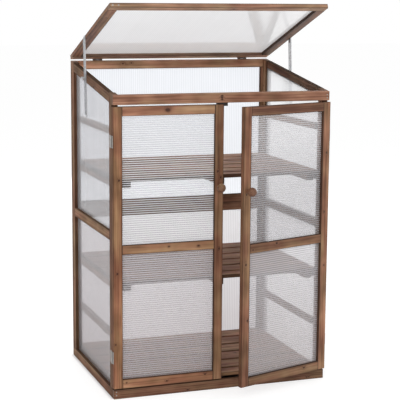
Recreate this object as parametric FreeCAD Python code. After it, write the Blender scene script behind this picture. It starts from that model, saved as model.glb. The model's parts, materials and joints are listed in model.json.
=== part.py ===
import FreeCAD, Part
import math
import os

# A wooden mini greenhouse: two glazed sides, a glazed back in two stacked frames, a pair of
# glazed front doors, a glazed lid that opens upwards on two slotted stays, and slatted shelves.
# Millimetres. +Z is up, the front faces -Y and +X is to the right. The origin is the middle of
# the underside of the base front rail, on the ground.

Vector = FreeCAD.Vector

# Cabinet
cabinet_width = 760.0
cabinet_depth = 557.0
front_height = 1005.0
back_height = 1088.5
batten_width = 31.0
batten_thickness = 15.0
side_post_thickness = 21.0  # the side walls' posts stand proud of their rails on the inside
back_split_height = 547.7

# Twin-wall sheets, held in rebates in the battens
pane_thickness = 4.0
pane_cover = 0.5            # from the sheet to the face of the battens that it was fitted from
pane_lap = 6.0              # depth of the rebate, measured along the sheet
pane_play = 0.5             # between the sheet's edge and the end of the rebate

# Shelves, the floor and the cleats that carry them
cleat_width = 15.0
cleat_height = 21.0
cleat_base = 15.0           # underside of the lowest pair of cleats
cleat_pitch = 171.4
cleat_levels = (0, 1, 2, 4, 5)
mid_rail_level = 3
slat_width = 80.0
slat_gap = 12.5
slat_thickness = 12.0
slat_end_gap = 2.0          # between the slats and the posts
shelf_front_gap = 7.0
shelf_back_gap = 9.5
shelf_batten_width = 24.0
shelf_batten_inset = 40.0   # from the end battens' middles to the inside of the side rails
shelf_batten_end_gap = 2.0
shelf_levels = {"floor": 0, "lower_shelf": 2, "upper_shelf": 4}

# Doors
door_top_gap = 5.0
door_bottom_gap = 3.3
door_meeting_gap = 2.0
door_mid_rail_bottom = 486.0
right_door_angle = 18.2     # how far the right door stands open
door_swing = 178.0

# Door knobs, catch and keepers
knob_radius = 15.0
knob_reach = 23.0           # from the door's face to the middle of the ball
knob_neck_radius = 6.5
knob_height = 695.0
catch_width = 37.0
catch_thickness = 14.0
catch_drop = 12.0           # below the beam's underside
catch_grip = 16.0           # above the beam's underside
keeper_width = 13.0
keeper_height = 11.0
keeper_thickness = 1.2
keeper_offset = 4.0         # from the middle of the cabinet
keeper_clearance = 0.3

# Hinges
leaf_thickness = 1.2
barrel_radius = 2.2
barrel_clearance = 0.3
knuckle_gap = 0.3
pin_radius = 1.1
pin_clearance = 0.05
door_hinge_length = 40.0
door_hinge_top_inset = 113.0
door_hinge_bottom_inset = 106.0
door_leaf_reach = 14.0
post_leaf_reach = 21.0
lid_hinge_length = 35.0
lid_hinge_offset = 280.0
lid_leaf_reach = 13.0
back_leaf_reach = 27.0

# Lid
lid_angle = 19.65           # above the horizontal, as it stands open
lid_back_gap = 3.0          # between the closed lid and the top of the back wall
lid_front_gap = 0.5         # between the closed lid and the top of the front beam

# Stays: a slotted channel on a pivot screw in the lid, held to the side wall by a bolt
bolt_depth = 338.0          # from the front of the cabinet to the bolt
bolt_radius = 2.25
bolt_grip = 12.0            # how far the bolt goes into the side wall
bolt_end = 15.5             # how far the bolt stands out of the side wall
stay_width = 18.0
stay_sheet = 1.5
flange_sheet = 1.2
flange_height = 4.2
stay_side_gap = 0.8
slot_width = 6.5
slot_stop = 262.0           # from the pivot to where the bolt stops in the slot
slot_start_play = 2.0
screw_radius = 2.5
screw_depth = 12.0
screw_head_radius = 4.5
screw_head_height = 2.0
fastener_clearance = 0.1    # radial, round a screw or bolt in its hole
pivot_clearance = 0.05      # radial, in the stay's pivot hole
face_clearance = 0.3        # between a stay and what is fastened over it

# Wing nuts
nut_radius = 4.5
nut_height = 7.5
washer_radius = 6.0
washer_height = 1.0
wing_span = 26.0
wing_sheet = 2.0
wing_height = 9.0
wing_turn = 78.0            # from upright towards the back, as the nuts are done up
wing_clearance = 0.8        # between the wings and the edges of the channel's flanges

# Planes that everything lines up with
front_y = -batten_thickness / 2
post_y = front_y + batten_thickness
back_y = front_y + cabinet_depth
back_wall_y = back_y - batten_thickness
side_x = cabinet_width / 2
inner_x = side_x - batten_thickness
post_inner_x = side_x - side_post_thickness
beam_bottom = front_height - batten_width
roof_angle = math.atan2(back_height - front_height, cabinet_depth)
rail_drop = batten_width / math.cos(roof_angle)
rebate_depth = pane_cover + pane_thickness
mid_rail_bottom = cleat_base + mid_rail_level * cleat_pitch

# Door sizes
door_width = side_x - door_meeting_gap / 2
door_bottom = batten_width + door_bottom_gap
door_height = beam_bottom - door_top_gap - door_bottom

# Hinge line of each door and of the lid
axis_out = barrel_radius + barrel_clearance
door_axis = Vector(side_x + axis_out, post_y, 0)
lid_closed_rise = back_height + lid_back_gap - front_height - lid_front_gap
lid_closed_angle = math.atan2(lid_closed_rise, cabinet_depth)
lid_length = cabinet_depth / math.cos(lid_closed_angle)
lid_axis = Vector(
    0,
    back_y + axis_out * math.cos(lid_closed_angle),
    back_height + lid_back_gap + axis_out * math.sin(lid_closed_angle),
)

# The bolt and the pivot are equally far from the lid's hinge line, so that the stay turns by
# half of the lid's angle and always points at the bolt
bolt_y = front_y + bolt_depth


def roof(y):
    return front_height + (y - front_y) * math.tan(roof_angle)


bolt_z = roof(bolt_y) - rail_drop / 2
stay_radius = math.hypot(lid_axis.y - bolt_y, lid_axis.z - bolt_z)
lid_tilt = math.radians(lid_angle)
pivot_height = batten_thickness / 2
pivot_depth = math.sqrt(stay_radius**2 - pivot_height**2)
pivot_y = lid_axis.y - pivot_depth * math.cos(lid_tilt) + pivot_height * math.sin(lid_tilt)
pivot_z = lid_axis.z + pivot_depth * math.sin(lid_tilt) + pivot_height * math.cos(lid_tilt)
rest_chord = math.hypot(pivot_y - bolt_y, pivot_z - bolt_z)
rest_apex = 2 * math.asin(rest_chord / 2 / stay_radius)
closed_apex = rest_apex - lid_tilt - lid_closed_angle
closed_chord = 2 * stay_radius * math.sin(closed_apex / 2)
open_apex = 2 * math.asin(slot_stop / 2 / stay_radius)


# Basic shapes

def block(x, y, z):
    size = (x[1] - x[0], y[1] - y[0], z[1] - z[0])
    return Part.makeBox(*size, Vector(x[0], y[0], z[0]))


def prism(outline, x):
    points = [Vector(x[0], y, z) for y, z in outline]
    face = Part.Face(Part.makePolygon(points + points[:1]))
    return face.extrude(Vector(x[1] - x[0], 0, 0))


def rod(radius, start, end):
    axis = end - start
    return Part.makeCylinder(radius, axis.Length, start, axis)


def mirrored(shape):
    return shape.mirror(Vector(0, 0, 0), Vector(1, 0, 0))


def both_sides(shapes):
    return list(shapes) + [mirrored(shape) for shape in shapes]


def axes_placement(origin, u, v, n):
    return FreeCAD.Matrix(
        u.x, v.x, n.x, origin.x,
        u.y, v.y, n.y, origin.y,
        u.z, v.z, n.z, origin.z,
        0, 0, 0, 1,
    )


def placed(shapes, matrix):
    return [shape.transformed(matrix, True) for shape in shapes]


def turned(shapes, centre, axis, degrees):
    turn = FreeCAD.Placement(Vector(0, 0, 0), FreeCAD.Rotation(axis, degrees), centre)
    return placed(shapes, turn.toMatrix())


# A glazed frame lying flat: u across, v along and n through the battens. The rebates are cut
# from the face at n = batten_thickness, and one sheet fills each bay.

def glazed_frame(width, height, mid_rail=None, through_stiles=True):
    rail_starts = [0, height - batten_width]
    if mid_rail is not None:
        rail_starts.insert(1, mid_rail)
    inside_u = (batten_width, width - batten_width)
    inside_v = (batten_width, height - batten_width)
    rail_u = inside_u if through_stiles else (0, width)
    stile_v = (0, height) if through_stiles else inside_v
    wood = (0, batten_thickness)
    stiles = [
        block((0, batten_width), stile_v, wood),
        block((width - batten_width, width), stile_v, wood),
    ]
    rails = [block(rail_u, (start, start + batten_width), wood) for start in rail_starts]
    bays = [(low + batten_width, high) for low, high in zip(rail_starts, rail_starts[1:])]
    rebates = [frame_bay(inside_u, bay, pane_lap, rebate_depth) for bay in bays]
    sheet_lap = pane_lap - pane_play
    sheets = []
    for bay in bays:
        sheet = frame_bay(inside_u, bay, sheet_lap, rebate_depth)
        cover = frame_bay(inside_u, bay, pane_lap, pane_cover)
        sheets.append(sheet.cut(cover))
    rebate = Part.makeCompound(rebates)
    return {
        "stiles": [solid_of(stile.cut(rebate)) for stile in stiles],
        "rails": [solid_of(rail.cut(rebate)) for rail in rails],
        "sheets": [solid_of(sheet) for sheet in sheets],
    }


def frame_bay(u, v, lap, depth):
    return block(
        (u[0] - lap, u[1] + lap),
        (v[0] - lap, v[1] + lap),
        (batten_thickness - depth, batten_thickness),
    )


def solid_of(shape):
    return shape.Solids[0]


# Side walls. The posts stand on the bottom rail and go up to the roof line, with the other rails
# between them. The right wall is drawn, and the left one is its mirror image.

def roof_band(y_low, y_high, below_low, below_high):
    return [
        (y_low, roof(y_low) - below_high),
        (y_high, roof(y_high) - below_high),
        (y_high, roof(y_high) - below_low),
        (y_low, roof(y_low) - below_low),
    ]


def upright(y_low, y_high, z_low, below_roof):
    return [
        (y_low, z_low),
        (y_high, z_low),
        (y_high, roof(y_high) - below_roof),
        (y_low, roof(y_low) - below_roof),
    ]


def side_bays(lap):
    y_low = post_y + batten_width - lap
    y_high = back_wall_y - batten_width + lap
    top_lap = lap / math.cos(roof_angle)
    upper_low = mid_rail_bottom + batten_width - lap
    lower_low = batten_width - lap
    lower_high = mid_rail_bottom + lap
    upper = upright(y_low, y_high, upper_low, rail_drop - top_lap)
    lower = [(y_low, lower_low), (y_high, lower_low), (y_high, lower_high), (y_low, lower_high)]
    return upper, lower


def side_wall():
    wood_x = (inner_x, side_x)
    post_x = (post_inner_x, side_x)
    front_post_y = (post_y, post_y + batten_width)
    back_post_y = (back_wall_y - batten_width, back_wall_y)
    rail_y = (front_post_y[1], back_post_y[0])
    pieces = {
        "front_post": prism(upright(*front_post_y, batten_width, 0), post_x),
        "back_post": prism(upright(*back_post_y, batten_width, 0), post_x),
        "top_rail": prism(roof_band(*rail_y, 0, rail_drop), wood_x),
        "mid_rail": block(wood_x, rail_y, (mid_rail_bottom, mid_rail_bottom + batten_width)),
        "bottom_rail": block(wood_x, (post_y, back_wall_y), (0, batten_width)),
    }
    rebate_x = (inner_x, inner_x + rebate_depth)
    rebates = Part.makeCompound([prism(bay, rebate_x) for bay in side_bays(pane_lap)])
    bolt_hole = rod(
        bolt_radius + fastener_clearance,
        Vector(side_x - bolt_grip, bolt_y, bolt_z),
        Vector(side_x, bolt_y, bolt_z),
    )
    wall = {name: solid_of(piece.cut(rebates)) for name, piece in pieces.items()}
    wall["top_rail"] = solid_of(wall["top_rail"].cut(bolt_hole))
    sheet_x = (inner_x + pane_cover, inner_x + rebate_depth)
    upper, lower = side_bays(pane_lap - pane_play)
    wall["upper_pane"] = prism(upper, sheet_x)
    wall["lower_pane"] = prism(lower, sheet_x)
    return wall


# Back wall: two stacked frames whose rails run the full width, with the sheets fitted from the
# outside. The top rail is planed to the slope of the roof.

def back_frame(z_low, z_high):
    parts = glazed_frame(cabinet_width, z_high - z_low, through_stiles=False)
    matrix = axes_placement(
        Vector(side_x, back_wall_y, z_low), Vector(-1, 0, 0), Vector(0, 0, 1), Vector(0, 1, 0)
    )
    return {name: placed(solids, matrix) for name, solids in parts.items()}


def back_wall():
    lower = back_frame(0, back_split_height)
    upper = back_frame(back_split_height, back_height)
    above = back_height - roof(back_wall_y)
    planed = prism(roof_band(back_wall_y, back_y, -above, 0), (-side_x, side_x))
    upper["rails"] = [solid_of(rail.cut(planed)) for rail in upper["rails"]]
    return upper, lower


# Front beam and base rail, across the fronts of the side walls. The beam is planed to the slope
# of the roof.

def front_beam():
    return prism(upright(front_y, post_y, beam_bottom, 0), (-side_x, side_x))


def base_front_rail():
    return block((-side_x, side_x), (front_y, post_y), (0, batten_width))


# Cleats, shelves and floor

def cleat_bottom(level):
    return cleat_base + level * cleat_pitch


def shelf_cleats():
    x = (inner_x - cleat_width, inner_x)
    y = (post_y + batten_width, back_wall_y - batten_width)
    cleats = []
    for level in cleat_levels:
        z = cleat_bottom(level)
        cleats.append(block(x, y, (z, z + cleat_height)))
    return both_sides(cleats)


def shelf(level):
    y_low = post_y + shelf_front_gap
    y_high = back_wall_y - shelf_back_gap
    z = cleat_bottom(level) + cleat_height
    pitch = slat_width + slat_gap
    wide_slats = int((y_high - y_low) // pitch)
    slat_x = (-post_inner_x + slat_end_gap, post_inner_x - slat_end_gap)
    slat_z = (z, z + slat_thickness)
    first_wide = y_high - wide_slats * pitch + slat_gap
    slats = []
    if first_wide - slat_gap > y_low:
        slats.append(block(slat_x, (y_low, first_wide - slat_gap), slat_z))
    for index in range(wide_slats):
        y = first_wide + index * pitch
        slats.append(block(slat_x, (y, y + slat_width), slat_z))
    batten_y = (y_low + shelf_batten_end_gap, y_high - shelf_batten_end_gap)
    end_x = inner_x - shelf_batten_inset
    battens = []
    for x in (-end_x, 0, end_x):
        batten_x = (x - shelf_batten_width / 2, x + shelf_batten_width / 2)
        battens.append(block(batten_x, batten_y, (z - cleat_height, z)))
    return slats, battens


# Hinges lie along local z on a face at local x = 0, with the pin at x = out. A leaf reaches
# towards +y. The leaf that holds the pin has the end knuckles, the other has the middle one.

def hinge_leaf(length, reach, out, holds_pin):
    knuckle = (length - 2 * knuckle_gap) / 3
    starts = (0, length - knuckle) if holds_pin else (knuckle + knuckle_gap,)
    clear_y = barrel_radius + barrel_clearance
    leaf = block((0, leaf_thickness), (clear_y, reach), (0, length))
    for start in starts:
        tab = block((0, leaf_thickness), (0, clear_y), (start, start + knuckle))
        barrel = rod(barrel_radius, Vector(out, 0, start), Vector(out, 0, start + knuckle))
        leaf = leaf.fuse([tab, barrel])
    pin_end = Vector(out, 0, length)
    if holds_pin:
        leaf = leaf.fuse(rod(pin_radius, Vector(out, 0, 0), pin_end))
    else:
        leaf = leaf.cut(rod(pin_radius + pin_clearance, Vector(out, 0, 0), pin_end))
    return solid_of(leaf.removeSplitter())


def door_hinge_heights():
    return (
        door_bottom + door_hinge_bottom_inset - door_hinge_length / 2,
        door_bottom + door_height - door_hinge_top_inset - door_hinge_length / 2,
    )


def door_hinge_leaves(reach, holds_pin, towards_y):
    leaf = hinge_leaf(door_hinge_length, reach, axis_out, holds_pin)
    leaves = []
    for z in door_hinge_heights():
        low = Vector(side_x, post_y, z)
        if towards_y < 0:
            # Turned end for end, the leaf reaches towards the front
            low.z = z + door_hinge_length
        matrix = axes_placement(
            low, Vector(1, 0, 0), Vector(0, towards_y, 0), Vector(0, 0, towards_y)
        )
        leaves += placed([leaf], matrix)
    return leaves


# Doors, drawn closed. The right one is drawn, and the left one is its mirror image.

def door():
    parts = glazed_frame(
        door_width, door_height, mid_rail=door_mid_rail_bottom - door_bottom
    )
    matrix = axes_placement(
        Vector(side_x, front_y, door_bottom), Vector(-1, 0, 0), Vector(0, 0, 1), Vector(0, 1, 0)
    )
    parts = {name: placed(solids, matrix) for name, solids in parts.items()}
    return {
        "hinge_stile": [parts["stiles"][0]],
        "latch_stile": [parts["stiles"][1]],
        "rails": parts["rails"],
        "lower_pane": [parts["sheets"][0]],
        "upper_pane": [parts["sheets"][1]],
        "knob": [door_knob()],
        "hinge_leaves": door_hinge_leaves(door_leaf_reach, False, -1),
        "keeper": [keeper()],
    }


def door_knob():
    foot = Vector(side_x - door_width + batten_width / 2, front_y, knob_height)
    middle = foot - Vector(0, knob_reach, 0)
    ball = Part.makeSphere(knob_radius, middle, Vector(0, -1, 0))
    return solid_of(ball.fuse(rod(knob_neck_radius, foot, middle)).removeSplitter())


def keeper():
    top = door_bottom + door_height
    return block(
        (keeper_offset, keeper_offset + keeper_width),
        (post_y, post_y + keeper_thickness),
        (top - keeper_height, top),
    )


def door_catch():
    x = (-catch_width / 2, catch_width / 2)
    y_high = post_y + catch_thickness
    lower_y = post_y + keeper_thickness + keeper_clearance
    foot_z = (beam_bottom - catch_drop, beam_bottom)
    foot = block(x, (lower_y, y_high), foot_z)
    body = block(x, (post_y, y_high), (beam_bottom, beam_bottom + catch_grip))
    return solid_of(body.fuse(foot).removeSplitter())


# The lid is drawn with its hinge line at the origin and its underside level, then placed

def lid():
    parts = glazed_frame(cabinet_width, lid_length, through_stiles=False)
    matrix = axes_placement(
        Vector(-side_x, -axis_out - lid_length, 0),
        Vector(1, 0, 0),
        Vector(0, 1, 0),
        Vector(0, 0, 1),
    )
    parts = {name: placed(solids, matrix) for name, solids in parts.items()}
    right_screw, screw_hole = pivot_screw()
    holes = Part.makeCompound(both_sides([screw_hole]))
    side_rails = [solid_of(rail.cut(holes)) for rail in parts["stiles"]]
    leaf = hinge_leaf(lid_hinge_length, lid_leaf_reach, axis_out, False)
    lid_leaf = placed(
        [leaf],
        axes_placement(
            Vector(lid_hinge_offset - lid_hinge_length / 2, -axis_out, 0),
            Vector(0, 1, 0),
            Vector(0, 0, 1),
            Vector(1, 0, 0),
        ),
    )
    pieces = {
        "lid_left_rail": [side_rails[0]],
        "lid_right_rail": [side_rails[1]],
        "lid_front_rail": [parts["rails"][0]],
        "lid_back_rail": [parts["rails"][1]],
        "lid_pane": parts["sheets"],
        "lid_hinge_leaves": both_sides(lid_leaf),
        "stay_pivot_screws": both_sides([right_screw]),
    }
    return {name: open_lid(solids) for name, solids in pieces.items()}


def open_lid(shapes):
    at_hinge = FreeCAD.Matrix()
    at_hinge.move(lid_axis)
    raised = turned(shapes, Vector(0, 0, 0), Vector(1, 0, 0), -lid_angle)
    return placed(raised, at_hinge)


def pivot_screw():
    web_outside = side_x + stay_side_gap + stay_sheet
    head_x = web_outside + face_clearance
    centre = Vector(0, -pivot_depth, pivot_height)
    tip = centre + Vector(side_x - screw_depth, 0, 0)
    under_head = centre + Vector(head_x, 0, 0)
    shank = rod(screw_radius, tip, under_head)
    head = rod(screw_head_radius, under_head, under_head + Vector(screw_head_height, 0, 0))
    hole = rod(screw_radius + fastener_clearance, tip, centre + Vector(side_x, 0, 0))
    return solid_of(shank.fuse(head)), hole


def lid_hinge_back_leaves():
    leaf = hinge_leaf(lid_hinge_length, back_leaf_reach, lid_axis.y - back_y, True)
    matrix = axes_placement(
        Vector(lid_hinge_offset + lid_hinge_length / 2, back_y, lid_axis.z),
        Vector(0, 1, 0),
        Vector(0, 0, -1),
        Vector(-1, 0, 0),
    )
    return both_sides(placed([leaf], matrix))


# Stays, drawn hanging straight down from the pivot, then turned to point at the bolt

def stadium(start, end, radius, x):
    middle = block(x, (-radius, radius), (-end, -start))
    ends = [rod(radius, Vector(x[0], 0, -at), Vector(x[1], 0, -at)) for at in (start, end)]
    return middle.fuse(ends).removeSplitter()


def stay():
    web_x = (side_x + stay_side_gap, side_x + stay_side_gap + stay_sheet)
    web = stadium(0, slot_stop, stay_width / 2, web_x)
    flange_x = (web_x[0], web_x[0] + flange_height)
    for edge in (-stay_width / 2, stay_width / 2 - flange_sheet):
        web = web.fuse(block(flange_x, (edge, edge + flange_sheet), (-slot_stop, 0)))
    slot = stadium(closed_chord - slot_start_play, slot_stop, slot_width / 2, web_x)
    pivot_hole = rod(
        screw_radius + pivot_clearance, Vector(web_x[0], 0, 0), Vector(web_x[1], 0, 0)
    )
    channel = solid_of(web.cut([slot, pivot_hole]).removeSplitter())
    lean = math.degrees(math.atan2(bolt_y - pivot_y, pivot_z - bolt_z))
    hanging = turned([channel], Vector(0, 0, 0), Vector(1, 0, 0), lean)
    at_pivot = FreeCAD.Matrix()
    at_pivot.move(Vector(0, pivot_y, pivot_z))
    return solid_of(placed(hanging, at_pivot)[0])


def stay_bolt():
    tip = Vector(side_x - bolt_grip, bolt_y, bolt_z)
    return rod(bolt_radius, tip, Vector(side_x + bolt_end, bolt_y, bolt_z))


def wing_nut():
    seat_x = side_x + stay_side_gap + stay_sheet + face_clearance
    seat = Vector(seat_x, bolt_y, bolt_z)
    top = seat + Vector(washer_height + nut_height, 0, 0)
    washer = rod(washer_radius, seat, seat + Vector(washer_height, 0, 0))
    boss = rod(nut_radius, seat, top)
    wing_x = side_x + stay_side_gap + flange_height + wing_clearance
    half = wing_span / 2
    wings = prism(
        [
            (bolt_y - wing_sheet / 2, bolt_z - half),
            (bolt_y + wing_sheet / 2, bolt_z - half),
            (bolt_y + wing_sheet / 2, bolt_z + half),
            (bolt_y - wing_sheet / 2, bolt_z + half),
        ],
        (wing_x, wing_x + wing_height),
    )
    # The valley between the wings opens towards the bolt's end
    valley = rod(
        half - nut_radius,
        Vector(wing_x + wing_height + nut_radius, bolt_y - nut_radius, bolt_z),
        Vector(wing_x + wing_height + nut_radius, bolt_y + nut_radius, bolt_z),
    )
    bore = rod(bolt_radius + pivot_clearance, seat, top + Vector(wing_height, 0, 0))
    nut = wings.cut(valley).fuse([washer, boss]).cut(bore)
    done_up = turned([nut.removeSplitter()], seat, Vector(1, 0, 0), -wing_turn)
    return solid_of(done_up[0])


# All pieces by name

def build():
    nodes = {}
    for name, piece in side_wall().items():
        nodes["side_right_" + name] = [piece]
        nodes["side_left_" + name] = [mirrored(piece)]
    upper, lower = back_wall()
    for name, frame in (("back_upper", upper), ("back_lower", lower)):
        nodes[name + "_stiles"] = frame["stiles"]
        nodes[name + "_rails"] = frame["rails"]
        nodes[name + "_pane"] = frame["sheets"]
    nodes["front_beam"] = [front_beam()]
    nodes["base_front_rail"] = [base_front_rail()]
    nodes["shelf_cleats"] = shelf_cleats()
    for name, level in shelf_levels.items():
        nodes[name + "_slats"], nodes[name + "_battens"] = shelf(level)
    nodes["door_catch"] = [door_catch()]
    nodes["door_hinge_post_leaves"] = both_sides(door_hinge_leaves(post_leaf_reach, True, 1))
    nodes["lid_hinge_back_leaves"] = lid_hinge_back_leaves()
    nodes["stay_bolts"] = both_sides([stay_bolt()])
    nodes["right_wing_nut"] = [wing_nut()]
    nodes["left_wing_nut"] = [mirrored(wing_nut())]
    for name, solids in door().items():
        swung = turned(solids, door_axis, Vector(0, 0, 1), right_door_angle)
        nodes["right_door_" + name] = swung
        nodes["left_door_" + name] = [mirrored(solid) for solid in solids]
    nodes.update(lid())
    nodes["right_stay"] = [stay()]
    nodes["left_stay"] = [mirrored(stay())]
    return nodes


def report_joints():
    lid_closing = math.degrees(rest_apex - closed_apex)
    lid_opening = math.degrees(open_apex - rest_apex)
    print(f"door hinge line x {door_axis.x:.3f} y {door_axis.y:.3f}")
    print(f"lid hinge line y {lid_axis.y:.3f} z {lid_axis.z:.3f}")
    print(f"lid closes {lid_closing:.3f} and opens {lid_opening:.3f} degrees further")
    print(f"stay pivot y {pivot_y:.3f} z {pivot_z:.3f}")
    print(f"stay bolt y {bolt_y:.3f} z {bolt_z:.3f}")
    print(f"right door from {-right_door_angle:.2f} to {door_swing - right_door_angle:.2f}")


os.makedirs("parts", exist_ok=True)
for node, solids in build().items():
    shape = solids[0] if len(solids) == 1 else Part.makeCompound(solids)
    assert shape.isValid(), node
    shape.exportStep("parts/" + node + ".step")
report_joints()
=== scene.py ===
import json
import math

import bmesh
import bpy
import numpy as np
from mathutils import Matrix, Vector


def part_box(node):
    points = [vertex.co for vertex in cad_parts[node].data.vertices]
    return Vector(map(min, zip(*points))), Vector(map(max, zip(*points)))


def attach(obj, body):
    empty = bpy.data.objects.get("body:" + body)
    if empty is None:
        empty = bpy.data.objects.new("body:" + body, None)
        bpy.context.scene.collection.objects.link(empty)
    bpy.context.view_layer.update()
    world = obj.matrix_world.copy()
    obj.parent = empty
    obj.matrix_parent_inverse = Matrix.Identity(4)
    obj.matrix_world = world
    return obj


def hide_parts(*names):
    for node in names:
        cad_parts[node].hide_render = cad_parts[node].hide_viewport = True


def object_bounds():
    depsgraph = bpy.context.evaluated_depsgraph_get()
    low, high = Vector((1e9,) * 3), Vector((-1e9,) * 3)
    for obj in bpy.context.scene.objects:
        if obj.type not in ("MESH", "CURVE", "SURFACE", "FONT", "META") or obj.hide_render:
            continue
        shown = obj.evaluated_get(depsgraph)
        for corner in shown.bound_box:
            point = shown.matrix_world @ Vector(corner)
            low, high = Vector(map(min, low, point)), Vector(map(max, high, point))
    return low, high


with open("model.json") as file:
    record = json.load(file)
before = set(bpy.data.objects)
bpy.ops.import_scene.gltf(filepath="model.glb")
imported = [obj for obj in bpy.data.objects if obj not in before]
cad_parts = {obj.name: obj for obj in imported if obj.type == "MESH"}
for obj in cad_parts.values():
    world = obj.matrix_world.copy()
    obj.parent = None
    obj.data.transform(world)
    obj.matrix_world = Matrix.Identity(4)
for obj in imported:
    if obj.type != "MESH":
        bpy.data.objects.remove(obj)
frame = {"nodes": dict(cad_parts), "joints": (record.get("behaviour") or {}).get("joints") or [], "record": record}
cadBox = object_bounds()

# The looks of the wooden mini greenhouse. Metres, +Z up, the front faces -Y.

print("frame loaded:", len(frame["nodes"]), "nodes")


# Shader expressions: arithmetic on a Wire adds Math nodes

class Wire:
    def __init__(self, tree, socket=None):
        self.tree = tree
        self.socket = socket

    def node(self, kind, settings, out=0, **inputs):
        made = self.tree.nodes.new(kind)
        for key, value in settings.items():
            if key == "stops":
                fillRamp(made.color_ramp, value)
            else:
                setattr(made, key, value)
        for key, value in inputs.items():
            target = made.inputs[int(key[1:]) if key[1:].isdigit() else key.replace("_", " ")]
            if isinstance(value, Wire):
                self.tree.links.new(value.socket, target)
            else:
                target.default_value = value
        return made if out is None else Wire(self.tree, made.outputs[out])

    def maths(self, operation, *values, clamp=False):
        inputs = {"i%d" % place: value for place, value in enumerate(values)}
        return self.node("ShaderNodeMath", {"operation": operation, "use_clamp": clamp}, **inputs)

    def __add__(self, other): return self.maths("ADD", self, other)
    def __radd__(self, other): return self.maths("ADD", other, self)
    def __sub__(self, other): return self.maths("SUBTRACT", self, other)
    def __rsub__(self, other): return self.maths("SUBTRACT", other, self)
    def __mul__(self, other): return self.maths("MULTIPLY", self, other)
    def __rmul__(self, other): return self.maths("MULTIPLY", other, self)
    def __truediv__(self, other): return self.maths("DIVIDE", self, other)
    def __pow__(self, other): return self.maths("POWER", self, other)
    def __abs__(self): return self.maths("ABSOLUTE", self)

    def parts(self):
        split = self.node("ShaderNodeSeparateXYZ", {}, Vector=self).socket.node
        return [Wire(self.tree, split.outputs[axis]) for axis in "XYZ"]

    def joined(self, x, y, z):
        return self.node("ShaderNodeCombineXYZ", {}, X=x, Y=y, Z=z)

    def between(self, low, high):
        # 0 below low, 1 above high, with a smooth step between
        return self.node(
            "ShaderNodeMapRange", {"interpolation_type": "SMOOTHSTEP"},
            Value=self, From_Min=low, From_Max=high,
        )

    def noise(self, vector, detail=3.0, roughness=0.5):
        return self.node(
            "ShaderNodeTexNoise", {}, Vector=vector, Scale=1.0, Detail=detail, Roughness=roughness
        )

    def scaledNoise(self, place, scales, detail):
        scaled = self.node(
            "ShaderNodeVectorMath", {"operation": "MULTIPLY"}, i0=place, i1=scales
        )
        return self.noise(scaled, detail)

    def mixed(self, factor, a, b, blend="MIX"):
        settings = {"data_type": "RGBA", "blend_type": blend}
        return self.node("ShaderNodeMix", settings, out=2, i0=factor, i6=a, i7=b)

    def ramp(self, factor, stops):
        return self.node("ShaderNodeValToRGB", {"stops": stops}, Fac=factor)

    def attribute(self, name):
        return self.node("ShaderNodeAttribute", {"attribute_name": name}, out="Vector")

    def objectPlace(self):
        return self.node("ShaderNodeTexCoord", {}, out="Object")


def fillRamp(ramp, stops):
    # The ramp starts with two stops, and gets one more for each colour past the second
    while len(ramp.elements) < len(stops):
        ramp.elements.new(0.5)
    for element, (place, colour) in zip(ramp.elements, stops):
        element.position = place
        element.color = (*colour, 1.0)


def startMaterial(name):
    material = bpy.data.materials.new(name)
    material.use_nodes = True
    tree = material.node_tree
    tree.nodes.clear()
    return material, Wire(tree)


def finishSurface(material, wire, fixed, **surface):
    # One Principled shader, whose constants are set on its own sockets
    tree = wire.tree
    shader = tree.nodes.new("ShaderNodeBsdfPrincipled")
    for name, value in fixed.items():
        shader.inputs[name].default_value = value
    for name, value in surface.items():
        tree.links.new(value.socket, shader.inputs[name.replace("_", " ")])
    output = tree.nodes.new("ShaderNodeOutputMaterial")
    tree.links.new(shader.outputs[0], output.inputs["Surface"])
    return material


def bumped(wire, height, strength, distance):
    return wire.node(
        "ShaderNodeBump", {}, Strength=strength, Distance=distance, Height=height
    )


# Stained softwood. Each batten carries these attributes: grain, which is (along, across, through)
# in metres from its middle; half, its half sizes; runs, the way its grain runs; seed; tone, its stain
# with painted light and shade; ends, the tone of its end grain; rebates, 1 where a sheet lies above
# and below it; and three knots.
# A share says how much of a thing shows, and a span goes from none of it to all of it, or back.

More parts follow.
